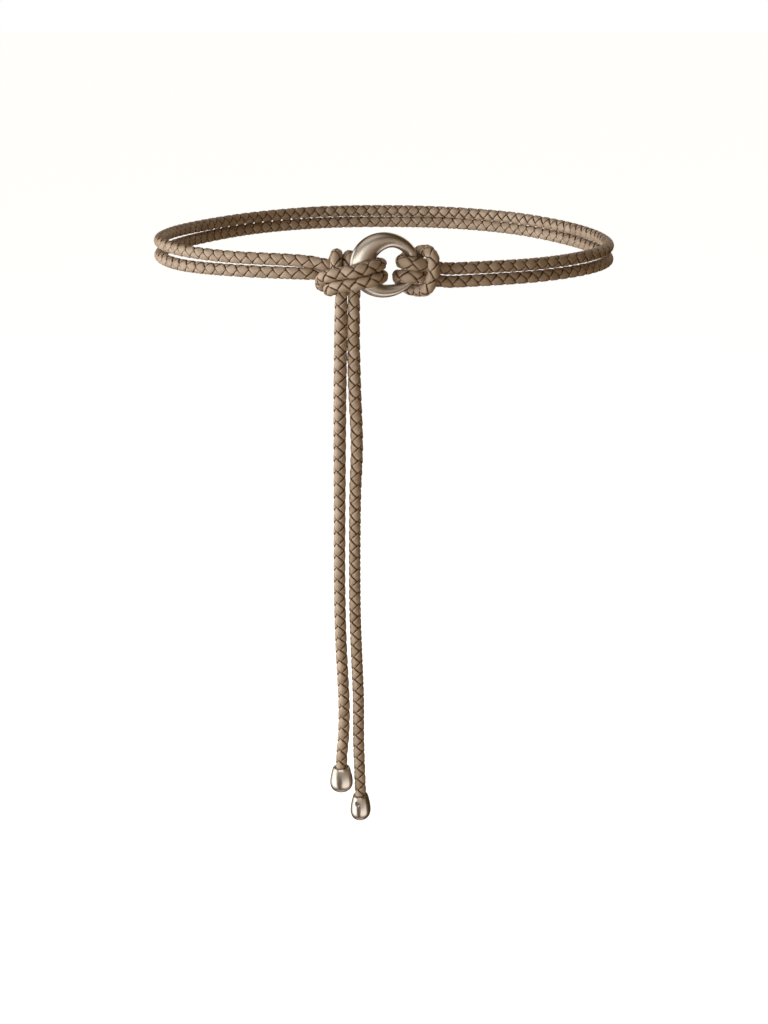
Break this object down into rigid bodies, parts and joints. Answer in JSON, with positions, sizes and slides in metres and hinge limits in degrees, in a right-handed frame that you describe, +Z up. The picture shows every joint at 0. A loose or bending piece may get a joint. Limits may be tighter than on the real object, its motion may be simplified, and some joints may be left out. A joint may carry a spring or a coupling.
{
  "type": "woven belt",
  "caption": "Round-braided leather cord belt, folded double round the waist, hitched and tied on an off-centre metal ring, with two hanging ends in metal caps.",
  "frame": {"origin": "middle of the open space for the waist, at the height of the belt at its two sides", "axes": "+Z up as worn, the ring and the tie at the front towards -Y, +X to the right as seen from the front"},
  "size_m": [0.2928, 0.2639, 0.3789],
  "materials": {
    "braided_leather": "soft satin, taupe",
    "satin_metal": "satin champagne nickel",
    "screw_metal": "satin"
  },
  "bodies": {
    "root": {"ring": "satin_metal", "waist_cord": "braided_leather", "tail_left": "braided_leather", "tail_right": "braided_leather", "tip_left": "satin_metal", "tip_right": "satin_metal", "tip_screw_left": "screw_metal", "tip_screw_right": "screw_metal"}
  },
  "joints": []
}
